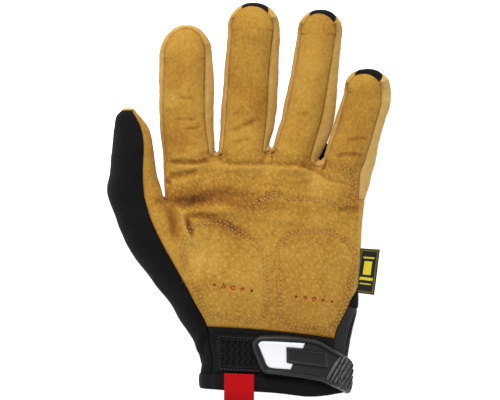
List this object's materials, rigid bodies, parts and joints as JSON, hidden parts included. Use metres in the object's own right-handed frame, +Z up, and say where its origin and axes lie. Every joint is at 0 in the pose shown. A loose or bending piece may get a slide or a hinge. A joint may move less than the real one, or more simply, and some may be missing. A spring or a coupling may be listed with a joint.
{
  "type": "work glove",
  "caption": "Left-hand leather-palm work glove lying palm up, with stretch fabric back, finger side strips and a hook-and-loop wrist tab.",
  "frame": {"origin": "point on the flat back of the hand that the glove rests on, under the middle of the palm", "axes": "+Y from the cuff to the fingertips, +X from the thumb side to the little-finger side, +Z up out of the palm"},
  "size_m": [0.1739, 0.2432, 0.0357],
  "materials": {
    "leather_palm": "suede, pebbled",
    "leather_side": "smooth suede",
    "fabric_back": "matte stretch knit",
    "fabric_cuff": "matte stretch knit",
    "trim_black": "matte binding and loop",
    "rubber_dark": "satin moulded",
    "inlay_white": "satin",
    "webbing_red": "woven webbing",
    "pad_orange": "matte foam",
    "label_woven": "woven label"
  },
  "bodies": {
    "root": {"palm_panel": "leather_palm", "back_panel": "fabric_back", "sidewall_little_outer": "leather_side", "sidewall_ring_little": "leather_side", "sidewall_middle_ring": "leather_side", "sidewall_index_middle": "leather_side", "sidewall_index_outer": "leather_side", "thumb_front": "leather_palm", "thumb_back": "fabric_back", "cuff_front": "fabric_cuff", "cuff_side_binding": "trim_black", "cuff_hem": "fabric_cuff", "loop_patch": "trim_black", "closure_tab": "rubber_dark", "tab_inlay": "inlay_white", "tab_plate": "rubber_dark", "closure_strap": "trim_black", "pull_tab": "webbing_red", "side_label": "label_woven", "vent_pad_thumb_side": "pad_orange", "vent_pad_little_side": "pad_orange"}
  },
  "joints": []
}
